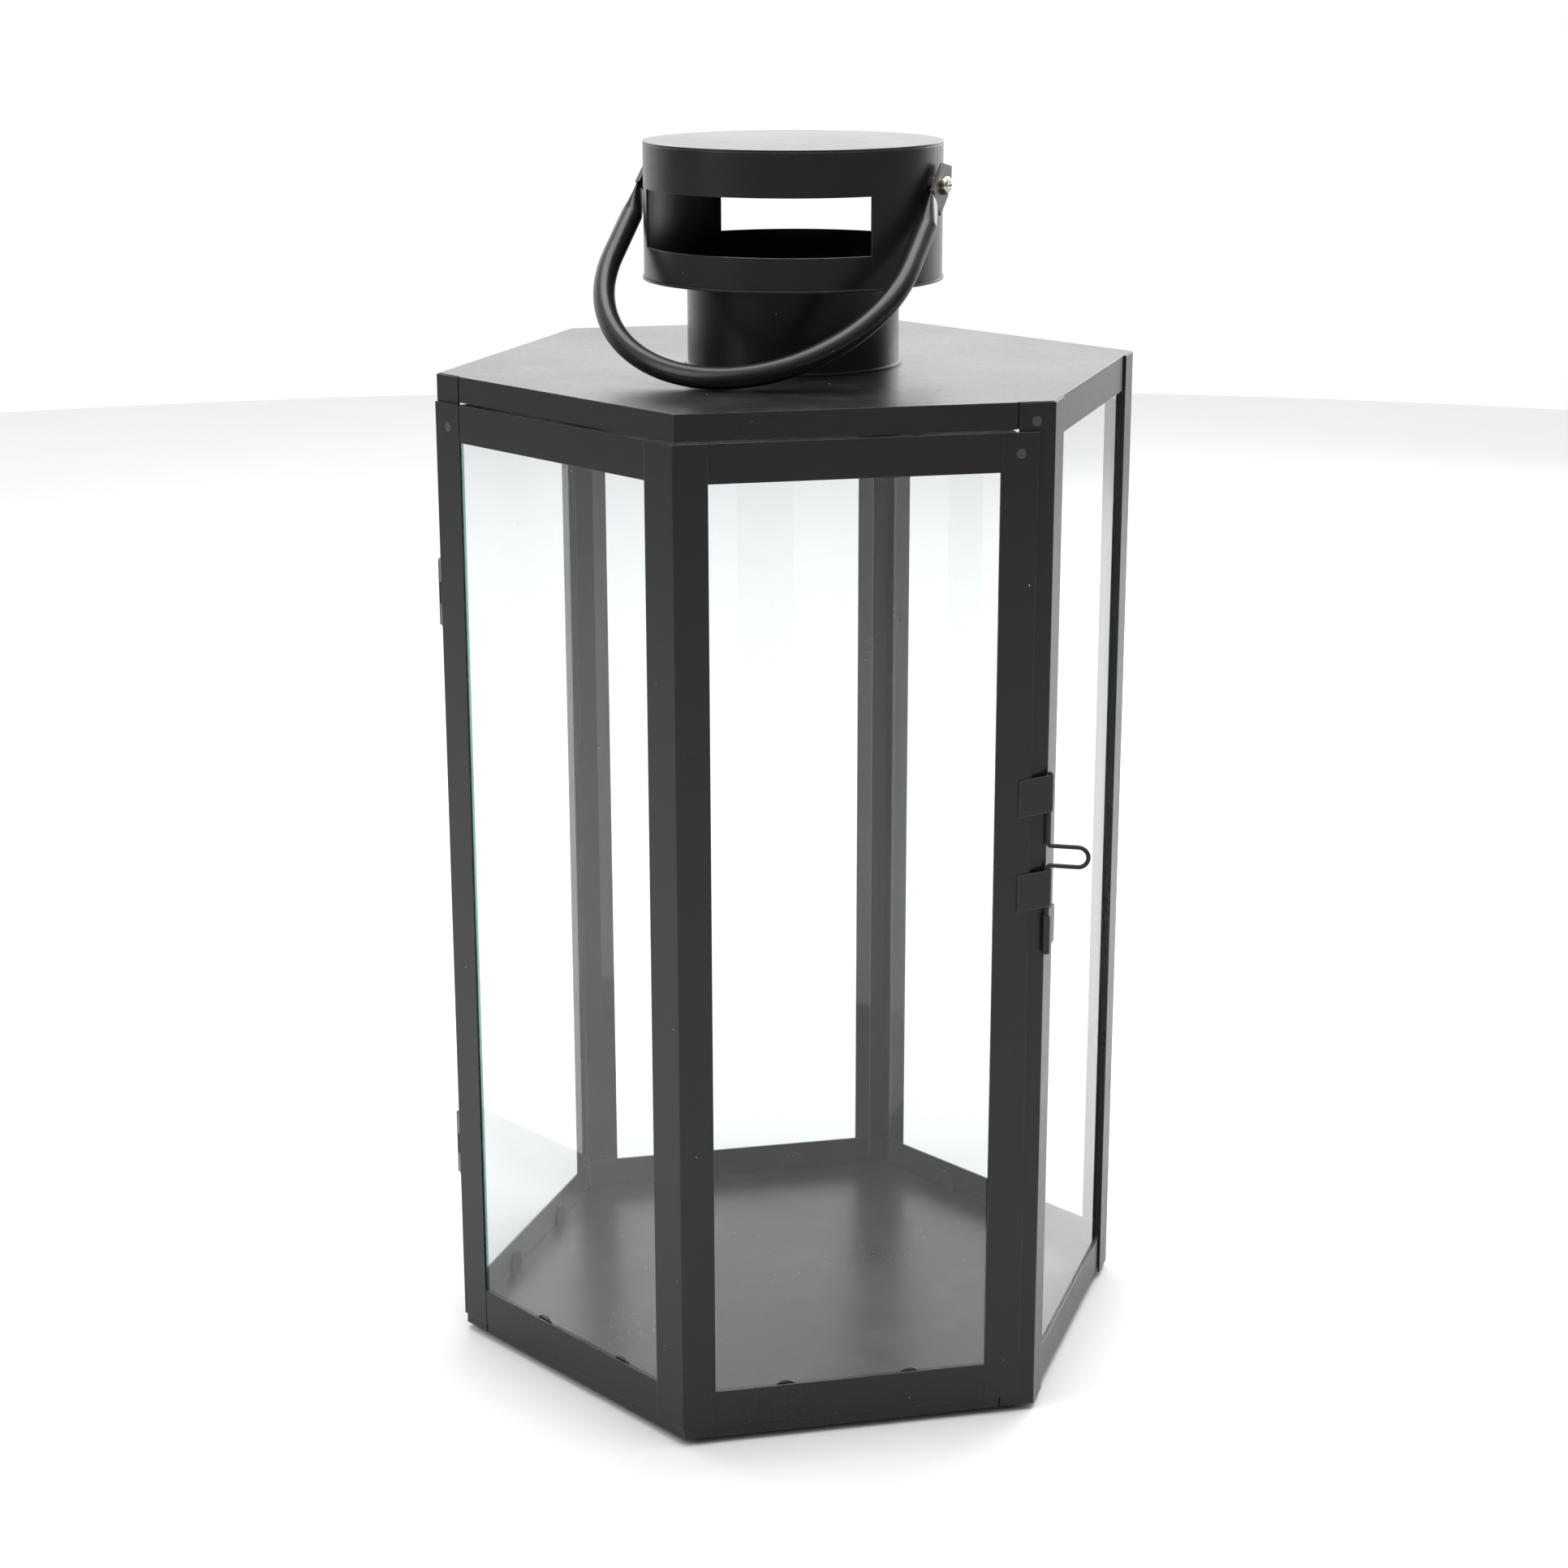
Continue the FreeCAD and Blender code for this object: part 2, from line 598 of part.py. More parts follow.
def pane_tabs():
    """Two tabs behind each fixed pane."""
    body = sub_part("pane_tabs", turn="60")
    outline = new_sketch(body, "Outline", plane="XZ_Plane", level=f"{PANE_BACK} - fit_gap")
    for side in ("-", ""):
        round_topped(outline, f"{side}tab_spread", "tab_width", "floor_height", "(floor_height + tab_height)")
    tabs = pad(body, "Tabs", outline, "sheet_thickness", backward=True)
    repeat_about_z(body, "Faces", [tabs], len(FIXED_FACE_ANGLES), angle=180)


for face_name, face_angle in FIXED_FACE_ANGLES.items():
    fixed_pane(face_name, face_angle)
pane_tabs()


# ---- door frame ----------------------------------------------------------------------------------------

DOOR_FACE_ANGLES = {"side": "-60", "front": "0"}
DOOR_HEIGHT = f"({DOOR_TOP} - {DOOR_BOTTOM})"


def flat_stile(name, turn, start, end):
    """Flat upright strip of the door."""
    body = sub_part(name, turn=turn)
    section = new_sketch(body, "Section", level=DOOR_BOTTOM)
    rectangle(section, start, end, f"-{STILE_FACE}", f"-{STILE_BACK}")
    pad(body, "Strip", section, DOOR_HEIGHT)


def corner_stile():
    """Folded upright strip of the door at V2."""
    body = sub_part("door_corner_stile", turn=str(DOOR_CORNER_ANGLE))
    section = new_sketch(body, "Section", level=DOOR_BOTTOM)
    fold(section, STILE_FACE, STILE_BACK, "corner_stile_front", "corner_stile_side")
    pad(body, "Strip", section, DOOR_HEIGHT)
    round_fold(body, STILE_FACE)


def rail_ends(face):
    """Where the rails of a face of the door meet its stiles, from left to right."""
    if face == "side":
        return HINGE_STILE_END, f"({STILE_CORNER} - corner_stile_side)"
    return f"(corner_stile_front - {STILE_CORNER})", LATCH_STILE_START


def top_rail(face, turn):
    """Upper rail with a flange inwards, mitred at V2."""
    body = sub_part(f"door_top_rail_{face}", turn=turn)
    web = new_sketch(body, "WebSection", level=f"{DOOR_TOP} - top_rail_height")
    rectangle(web, *rail_ends(face), f"-{RAIL_FACE}", f"-{RAIL_BACK}")
    pad(body, "Web", web, "top_rail_height")
    side = 1 if face == "side" else -1
    outer = RAIL_BACK
    inner = f"({RAIL_FACE} - rail_flange)"
    post_end = f"{-side} * ({HALF_FACE} - post_flange - rail_end_gap)"
    flange = new_sketch(body, "FlangeOutline", level=f"{DOOR_TOP} - sheet_thickness")
    chain(flange, (
        (f"{side} * ({outer} * tan(30) - mitre_gap)", f"-{outer}"),
        (post_end, f"-{outer}"),
        (post_end, f"-{inner}"),
        (f"{side} * ({inner} * tan(30) - mitre_gap)", f"-{inner}"),
    ))
    pad(body, "Flange", flange, "sheet_thickness")


def bottom_rail(face, turn):
    """Flat lower rail."""
    body = sub_part(f"door_bottom_rail_{face}", turn=turn)
    section = new_sketch(body, "Section", level=DOOR_BOTTOM)
    rectangle(section, *rail_ends(face), f"-{RAIL_FACE}", f"-{RAIL_BACK}")
    pad(body, "Strip", section, "bottom_rail_height")


def door_pane(face, turn):
    """Pane of one face of the door."""
    body = sub_part(f"door_pane_{face}", turn=turn)
    section = new_sketch(body, "Section", level="floor_height + door_pane_lift")
    corner_end = f"({HALF_FACE} - door_pane_corner_gap)"
    post_end = f"({HALF_FACE} - post_flange - door_pane_side_gap)"
    left, right = (f"-{post_end}", corner_end) if face == "side" else (f"-{corner_end}", post_end)
    rectangle(section, left, right, f"-{DOOR_PANE_FACE}", f"-{DOOR_PANE_BACK}")
    head = f"({DOOR_TOP} - sheet_thickness - door_pane_head_gap)"
    pad(body, "Glass", section, f"{head} - floor_height - door_pane_lift")


def door_clips(face, turn):
    """Two clips that hold the pane of one face of the door at its lower edge."""
    body = sub_part(f"door_clips_{face}", turn=turn)
    side = "-" if face == "side" else ""
    ledge = f"({DOOR_BOTTOM} + fit_gap)"
    clip_face = f"({DOOR_PANE_BACK} - fit_gap)"
    clip_back = f"({clip_face} - sheet_thickness)"
    for number, place in enumerate(("clip_near", "clip_far"), start=1):
        middle = f"({side}1 * ({place} - {HALF_FACE}))"
        leg = new_sketch(body, f"LegSection{number}", level=ledge)
        ends = (f"({middle} - clip_width / 2)", f"({middle} + clip_width / 2)")
        rectangle(leg, *ends, f"-{RAIL_BACK}", f"-{clip_back}")
        pad(body, f"Leg{number}", leg, "sheet_thickness")
        upright = new_sketch(body, f"UprightOutline{number}", plane="XZ_Plane", level=clip_back)
        round_topped(upright, middle, "clip_width", ledge, "clip_top")
        pad(body, f"Upright{number}", upright, "sheet_thickness")


flat_stile("door_hinge_stile", "-60", HINGE_STILE_START, HINGE_STILE_END)
flat_stile("door_latch_stile", "0", LATCH_STILE_START, LATCH_STILE_END)
corner_stile()
for door_face, door_angle in DOOR_FACE_ANGLES.items():
    top_rail(door_face, door_angle)
    bottom_rail(door_face, door_angle)
    door_pane(door_face, door_angle)
    door_clips(door_face, door_angle)


# ---- hinges --------------------------------------------------------------------------------------------

# The hinge axis in the frame of the fixed face beside V1, and in the frame of the door's side face.
FIXED_AXIS = (f"({HALF_FACE} - hinge_axis_back)", f"-({POST_FACE} + hinge_axis_out)")
DOOR_AXIS = turned(*FIXED_AXIS, -60)
THIRD = "(hinge_height / 3)"


def hinge_leaves():
    """Fixed leaf and middle knuckle of each hinge."""
    body = sub_part("hinge_leaves", turn="-120")
    leaf_face = f"-({POST_FACE} + hinge_leaf_thickness)"
    for number, bottom in enumerate(HINGE_BOTTOMS, start=1):
        leaf = new_sketch(body, f"LeafSection{number}", level=bottom)
        edges = (f"({HALF_FACE} - hinge_leaf_far)", f"({HALF_FACE} - hinge_leaf_near)")
        rectangle(leaf, *edges, leaf_face, f"-{POST_FACE}")
        pad(body, f"Leaf{number}", leaf, "hinge_height")
        level = f"{bottom} + {THIRD} + knuckle_gap / 2"
        tongue = new_sketch(body, f"TongueSection{number}", level=level)
        rectangle(tongue, edges[0], FIXED_AXIS[0], leaf_face, f"-{POST_FACE}")
        pad(body, f"Tongue{number}", tongue, f"{THIRD} - knuckle_gap")
        knuckle = new_sketch(body, f"KnuckleCircle{number}", level=level)
        circle(knuckle, "hinge_barrel_radius", *FIXED_AXIS)
        pad(body, f"Knuckle{number}", knuckle, f"{THIRD} - knuckle_gap")
        bore = new_sketch(body, f"BoreCircle{number}", level=f"{bottom} + hinge_height")
        circle(bore, HINGE_BORE, *FIXED_AXIS)
        pocket(body, f"Bore{number}", bore, "hinge_height")


def hinge_knuckles():
    """Outer knuckles of each hinge, on webs from the edge of the hinge stile."""
    body = sub_part("hinge_knuckles", turn="-60")
    root = "(hinge_barrel_radius - knuckle_rim)"
    web_outline = (
        (HINGE_STILE_START, f"-{STILE_FACE}"),
        (HINGE_STILE_START, f"-{STILE_BACK}"),
        (f"(-{HALF_FACE} - hinge_web_past)", f"-{STILE_BACK}"),
        (f"({DOOR_AXIS[0]} + {root})", DOOR_AXIS[1]),
        (DOOR_AXIS[0], f"({DOOR_AXIS[1]} - {root})"),
    )
    for number, bottom in enumerate(HINGE_BOTTOMS, start=1):
        for place in (0, 2):
            level = f"{bottom} + {place} * {THIRD} + knuckle_gap / 2"
            web = new_sketch(body, f"WebSection{number}_{place}", level=level)
            chain(web, web_outline)
            pad(body, f"Web{number}_{place}", web, f"{THIRD} - knuckle_gap")
            knuckle = new_sketch(body, f"KnuckleCircle{number}_{place}", level=level)
            circle(knuckle, "hinge_barrel_radius", *DOOR_AXIS)
            pad(body, f"Knuckle{number}_{place}", knuckle, f"{THIRD} - knuckle_gap")
        bore = new_sketch(body, f"BoreCircle{number}", level=f"{bottom} + hinge_height")
        circle(bore, HINGE_BORE, *DOOR_AXIS)
        pocket(body, f"Bore{number}", bore, "hinge_height")


def hinge_pins():
    """Pin of each hinge."""
    body = sub_part("hinge_pins", turn="-120")
    for number, bottom in enumerate(HINGE_BOTTOMS, start=1):
        section = new_sketch(body, f"PinCircle{number}", level=f"{bottom} - hinge_pin_proud")
        circle(section, "hinge_pin_radius", *FIXED_AXIS)
        pad(body, f"Pin{number}", section, "hinge_height + 2 * hinge_pin_proud")


hinge_leaves()
hinge_knuckles()
hinge_pins()


# ---- latch ---------------------------------------------------------------------------------------------

def latch_straps():
    """Two straps on the latch stile, each rolled into a guide for the bolt."""
    body = sub_part("latch_straps")
    foot_end = f"({LATCH_STILE_END} - strap_edge_gap)"
    foot_start = f"({foot_end} - strap_foot)"
    foot_face = f"-({STILE_FACE} + latch_sheet)"
    barrel_front = f"-({LATCH_Y} + latch_barrel_radius)"
    plan = (
        (foot_start, f"-{STILE_FACE}"),
        (foot_start, foot_face),
        (foot_end, foot_face),
        (LATCH_X, barrel_front),
        (LATCH_X, f"({barrel_front} + latch_sheet)"),
        (foot_end, f"-{STILE_FACE}"),
    )
    foot_length = f"({LATCH_X} + latch_barrel_radius - {foot_start})"
    fall = f"({foot_length} * tan(strap_lean))"
    for number, bottom in enumerate((LOWER_STRAP, UPPER_STRAP), start=1):
        section = new_sketch(body, f"StrapSection{number}", level=f"{bottom} - {fall}")
        chain(section, plan)
        pad(body, f"Strap{number}", section, f"strap_height + {fall}")
        barrel = new_sketch(body, f"BarrelCircle{number}", level=bottom)
        circle(barrel, "latch_barrel_radius", LATCH_X, f"-{LATCH_Y}")
        pad(body, f"Barrel{number}", barrel, "strap_height")
        bore = new_sketch(body, f"BoreCircle{number}", level=f"{bottom} + strap_height")
        circle(bore, LATCH_BORE, LATCH_X, f"-{LATCH_Y}")
        pocket(body, f"Bore{number}", bore, f"strap_height + {fall}")
    barrel_end = f"({LATCH_X} + latch_barrel_radius)"
    reach = "(latch_axis_out + 2 * latch_barrel_radius)"
    for number, bottom in enumerate((LOWER_STRAP, UPPER_STRAP), start=1):
        over = new_sketch(body, f"OverStrap{number}", plane="XZ_Plane", level=STILE_BACK)
        top = f"({bottom} + strap_height)"
        chain(over, ((foot_start, f"({top} - {fall})"), (barrel_end, top), (foot_start, top)))
        pocket(body, f"TopSlope{number}", over, reach, backward=True)
        under = new_sketch(body, f"UnderStrap{number}", plane="XZ_Plane", level=STILE_BACK)
        foot_bottom = f"({bottom} - {fall})"
        chain(under, ((foot_start, foot_bottom), (barrel_end, foot_bottom), (barrel_end, bottom)))
        pocket(body, f"BottomSlope{number}", under, reach, backward=True)


def latch_keeper():
    """Rolled socket for the end of the bolt, on a leaf on the side flange of the post at V3."""
    body = sub_part("latch_keeper", turn="60")
    axis = turned(LATCH_X, f"-{LATCH_Y}", -60)
    leaf = new_sketch(body, "LeafSection", level="keeper_bottom")
    leaf_end = f"(keeper_leaf - {HALF_FACE})"
    rectangle(leaf, axis[0], leaf_end, f"-({POST_FACE} + latch_sheet)", f"-{POST_FACE}")
    pad(body, "Leaf", leaf, "keeper_height")
    barrel = new_sketch(body, "BarrelCircle", level="keeper_bottom")
    circle(barrel, "latch_barrel_radius", *axis)
    pad(body, "Barrel", barrel, "keeper_height")
    bore = new_sketch(body, "BoreCircle", level=KEEPER_TOP)
    circle(bore, LATCH_BORE, *axis)
    pocket(body, "Bore", bore, "keeper_height")


def latch_bolt():
    """Bolt of bent wire: two stems on one axis and a loop to lift it by."""
    body = sub_part("latch_bolt", turn="-loop_angle", x=LATCH_X, y=f"-{LATCH_Y}")
    bottom = f"({KEEPER_TOP} - bolt_depth)"
    top = f"({UPPER_STRAP} + strap_height + bolt_proud)"
    turn_x = "(loop_reach - latch_wire_radius - loop_radius)"
    route = new_sketch(body, "Route", plane="XZ_Plane")
    chain(route, (
        ("0", bottom),
        ("0", f"({LOOP_BOTTOM} - bolt_bend)"),
        ("bolt_bend", LOOP_BOTTOM, ("bolt_bend", f"({LOOP_BOTTOM} - bolt_bend)")),
        (turn_x, LOOP_BOTTOM),
        (turn_x, LOOP_TOP, (turn_x, f"({LOOP_BOTTOM} + loop_radius)")),
        ("bolt_bend", LOOP_TOP),
        ("0", f"({LOOP_TOP} + bolt_bend)", ("bolt_bend", f"({LOOP_TOP} + bolt_bend)")),
        ("0", top),
    ), closed=False)
    section = new_sketch(body, "Section", level=bottom)
    circle(section, "latch_wire_radius")
    wire = body.newObject("PartDesign::AdditivePipe", "Wire")
    wire.Profile = section
    wire.Spine = (route, [""])
    settled(wire)


latch_straps()
latch_keeper()
latch_bolt()


# ---- neck and drum -------------------------------------------------------------------------------------

def neck_tube():
    """Short tube on the roof with a lip at its foot."""
    body = sub_part("neck_tube")
    for name, outside, length in (
        ("Tube", "neck_radius", "neck_height"),
        ("Lip", "neck_radius + neck_lip", "sheet_thickness"),
    ):
        section = new_sketch(body, f"{name}Circles", level="roof_height")
        circle(section, outside)
        circle(section, NECK_BORE)
        pad(body, name, section, length)


def drum_floor():
    """Ring that carries the wall of the drum on the neck."""
    body = sub_part("drum_floor")
    section = new_sketch(body, "Circles", level=DRUM_BOTTOM)
    circle(section, "drum_radius + drum_hem")
    circle(section, NECK_BORE)
    pad(body, "Ring", section, "sheet_thickness")


def drum_top():
    """Closed top of the drum."""
    body = sub_part("drum_top")
    section = new_sketch(body, "Circle", level=f"{DRUM_TOP} - sheet_thickness")
    circle(section, "drum_radius")
    pad(body, "Disc", section, "sheet_thickness")


def drum_wall():
    """Wall of the drum with two long vent slots, and a hole for each pivot screw."""
    body = sub_part("drum_wall", turn="pivot_angle")
    section = new_sketch(body, "Circles", level=f"{DRUM_BOTTOM} + sheet_thickness")
    circle(section, "drum_radius")
    circle(section, DRUM_BORE)
    pad(body, "Wall", section, "drum_height - 2 * sheet_thickness")
    half_slot = "(90 - strip_angle / 2)"
    reach = "(2 * drum_radius)"
    slot_top = f"({DRUM_BOTTOM} + slot_rise + slot_height)"
    for number, side in enumerate(("1", "-1"), start=1):
        fan = new_sketch(body, f"SlotFan{number}", level=slot_top, turn="slot_angle - pivot_angle")
        chain(fan, (
            ("0", "0"),
            (f"{side} * {reach} * sin({half_slot})", f"{side} * {reach} * cos({half_slot})"),
            ("0", f"{side} * 2 * {reach}"),
            (f"-{side} * {reach} * sin({half_slot})", f"{side} * {reach} * cos({half_slot})"),
        ))
        pocket(body, f"Slot{number}", fan, "slot_height")
    hole = new_sketch(body, "ScrewHoleCircle", plane="YZ_Plane", level="2 * drum_radius")
    circle(hole, SCREW_HOLE, "0", PIVOT_HEIGHT)
    pocket(body, "ScrewHoles", hole, "4 * drum_radius")


neck_tube()
drum_floor()
drum_wall()
drum_top()


# ---- pivot screws and nuts -----------------------------------------------------------------------------

def pivot_screws():
    """Two cross-recessed pan-head screws on the axis of the bail."""
    body = sub_part("pivot_screws", turn="pivot_angle", height=PIVOT_HEIGHT)
    shank_start = f"({INNER_NUT} - thread_end)"
    shank = new_sketch(body, "ShankCircle", plane="YZ_Plane", level=shank_start)
    circle(shank, "screw_radius")
    features = [pad(body, "Shank", shank, f"{HEAD_SEAT} - {shank_start}")]
    head = new_sketch(body, "HeadCircle", plane="YZ_Plane", level=HEAD_SEAT)
    circle(head, "head_radius")
    features.append(pad(body, "Head", head, "head_height"))
    head_face = value(f"{HEAD_SEAT} + head_height")
    for number, (wide, high) in enumerate(
        (("recess_length", "recess_width"), ("recess_width", "recess_length")), start=1
    ):
        arm = new_sketch(body, f"RecessArm{number}", plane="YZ_Plane", level=f"{HEAD_SEAT} + head_height")
        rectangle(arm, f"-{wide} / 2", f"{wide} / 2", f"-{high} / 2", f"{high} / 2")
        features.append(pocket(body, f"Recess{number}", arm, "recess_depth"))
    repeat_about_z(body, "Opposite", features, 2)
    rim = value("head_radius")

    def on_rim(place):
        across = (place.y ** 2 + place.z ** 2) ** 0.5
        return near(abs(place.x), head_face) and near(across, rim)

    round_edges(body, "HeadRound", "head_round", on_rim)


def pivot_nuts(name, start):
    """Two hexagon nuts, on opposite sides of the drum."""
    body = sub_part(name, turn="pivot_angle", height=PIVOT_HEIGHT)
    section = new_sketch(body, "Section", plane="YZ_Plane", level=start)
    chain(section, [hexagon_corner("(nut_flats / 2)", corner) for corner in range(0, 360, 60)])
    circle(section, SCREW_HOLE)
    nut = pad(body, "Nut", section, "nut_thickness")
    repeat_about_z(body, "Opposite", [nut], 2)


pivot_screws()
pivot_nuts("pivot_nuts_outer", OUTER_NUT)
pivot_nuts("pivot_nuts_inner", INNER_NUT)


# ---- bail ----------------------------------------------------------------------------------------------

def bail_handle():
    """Tube bent to a U, with a flattened ear on each leg. It lies on the roof, towards -Y of its frame."""
    body = sub_part("bail_handle", turn="pivot_angle", roll=BAIL_TILT, height=PIVOT_HEIGHT)
    bend = new_sketch(body, "BendCircle", plane="XZ_Plane", level="bail_leg")
    circle(bend, "bail_tube_radius", BAIL_RADIUS)
    arch = body.newObject("PartDesign::Revolution", "Bend")
    arch.Profile = bend
    arch.ReferenceAxis = (bend, ["V_Axis"])
    arch.Angle = 180
    arch.Reversed = True
    settled(arch)

    round_start = "(ear_flat + ear_taper)"
    leg = new_sketch(body, "LegCircle", plane="XZ_Plane", level="bail_leg")
    circle(leg, "bail_tube_radius", BAIL_RADIUS)
    features = [pad(body, "Leg", leg, f"bail_leg - {round_start}", backward=True)]
    features.append(ear_taper(body, round_start))
    plate = new_sketch(body, "EarOutline", plane="YZ_Plane", level=EAR_BACK)
    half = "(ear_width / 2)"
    chain(plate, (
        ("-ear_flat", f"-{half}"),
        ("ear_shoulder", f"-{half}"),
        ("ear_tip", "0"),
        ("ear_shoulder", half),
        ("-ear_flat", half),
    ))
    features.append(pad(body, "Ear", plate, "ear_thickness"))
    hole = new_sketch(body, "HoleCircle", plane="YZ_Plane", level=f"{EAR_BACK} + ear_thickness")
    circle(hole, SCREW_HOLE)
    features.append(pocket(body, "Hole", hole, "ear_thickness"))
    mirror_across(body, "OtherLeg", features, "YZ_Plane")


def ear_taper(body, round_start):
    """Loft from the flattened section to the round tube."""
    flat = new_sketch(body, "FlatSection", plane="XZ_Plane", level="ear_flat", turn="90")
    centre = Vector(0, -value(BAIL_RADIUS), 0)
    major = value("ear_width / 2")
    minor = value("ear_thickness / 2")
    oval = flat.addGeometry(
        Part.Ellipse(centre + Vector(major, 0, 0), centre + Vector(0, minor, 0), centre), False
    )
    flat.exposeInternalGeometry(oval)
    bind_distance(flat, "X", oval, 3, "0")
    bind_distance(flat, "Y", oval, 3, f"-{BAIL_RADIUS}")
    long_axis, short_axis = oval + 1, oval + 2
    flat.addConstraint(Sketcher.Constraint("Horizontal", long_axis))
    for axis, across in ((long_axis, "ear_width"), (short_axis, "ear_thickness")):
        number = flat.addConstraint(Sketcher.Constraint("Distance", axis, value(across)))
        flat.setExpression(f"Constraints[{number}]", bound(across))
    tube = new_sketch(body, "TubeSection", plane="XZ_Plane", level=round_start, turn="90")
    circle(tube, "bail_tube_radius", "0", f"-{BAIL_RADIUS}")
    taper = body.newObject("PartDesign::AdditiveLoft", "Taper")
    taper.Profile = flat
    taper.Sections = [tube]
    return settled(taper)


bail_handle()


# ---- checks and files ----------------------------------------------------------------------------------

def check(objects):
    """Stop if any object or any sub-part's shape has failed."""
    for item in objects:
        if {"Invalid", "Error"} & set(item.State):
            raise RuntimeError(f"{item.Label}: {item.State}")
    for body in sub_parts:
        if body.Shape.isNull() or not body.Shape.isValid() or not body.Shape.Solids:
            raise RuntimeError(f"{body.Label}: bad shape")


doc.recompute()
check(doc.Objects)
os.makedirs("parts", exist_ok=True)
for body in sub_parts:
    body.Shape.exportStep(f"parts/{body.Label}.step")
    print(f"{body.Label}: {len(body.Shape.Solids)} solids, {body.Shape.Volume:.1f} mm3")
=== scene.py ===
"""Looks of the hexagonal candle lantern: camera, studio, materials, and the marks of its spot welds.

Lengths are in metres and angles in degrees, in the frame of the CAD part: +Z up, origin on the ground
under the middle of the cage, the front face looking along -Y.
"""

import math

import bmesh
import bpy
from mathutils import Matrix, Vector


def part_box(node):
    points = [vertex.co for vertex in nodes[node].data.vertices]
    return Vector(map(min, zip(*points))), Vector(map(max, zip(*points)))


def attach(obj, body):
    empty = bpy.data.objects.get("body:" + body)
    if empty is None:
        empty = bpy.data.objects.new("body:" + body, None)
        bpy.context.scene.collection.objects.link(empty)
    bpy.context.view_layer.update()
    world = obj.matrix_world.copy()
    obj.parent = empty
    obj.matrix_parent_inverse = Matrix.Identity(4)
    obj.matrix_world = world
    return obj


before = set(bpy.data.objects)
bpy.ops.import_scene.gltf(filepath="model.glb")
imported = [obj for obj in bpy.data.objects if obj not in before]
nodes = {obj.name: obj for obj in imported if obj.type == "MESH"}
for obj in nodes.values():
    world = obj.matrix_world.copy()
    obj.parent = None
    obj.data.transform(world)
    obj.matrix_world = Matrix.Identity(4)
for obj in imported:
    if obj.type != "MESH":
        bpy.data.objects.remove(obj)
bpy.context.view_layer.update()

# ---------------------------------------------------------------- camera

CAMERA_PLACE = (-0.2936, -1.3215, 0.6455)
CAMERA_TURN = 12.34  # to the right of +Y
CAMERA_DOWN = 15.88  # below the horizon
CAMERA_ROLL = -0.09
CAMERA_LENS = 69.29  # millimetres, as is the sensor
CAMERA_SENSOR = 36.0
CLIP_NEAR = 0.01
CLIP_FAR = 60.0


def make_camera():
    """The camera at the place and angle the photograph was taken from."""
    data = bpy.data.cameras.new("camera")
    data.lens = CAMERA_LENS
    data.sensor_width = CAMERA_SENSOR
    data.sensor_fit = "HORIZONTAL"
    data.clip_start = CLIP_NEAR
    data.clip_end = CLIP_FAR
    camera = bpy.data.objects.new("camera", data)
    bpy.context.collection.objects.link(camera)
    turn = Matrix.Rotation(math.radians(-CAMERA_TURN), 4, "Z")
    tilt = Matrix.Rotation(math.radians(90.0 - CAMERA_DOWN), 4, "X")
    roll = Matrix.Rotation(math.radians(CAMERA_ROLL), 4, "Z")
    camera.matrix_world = Matrix.Translation(CAMERA_PLACE) @ turn @ tilt @ roll
    bpy.context.scene.camera = camera


# ---------------------------------------------------------------- node helpers


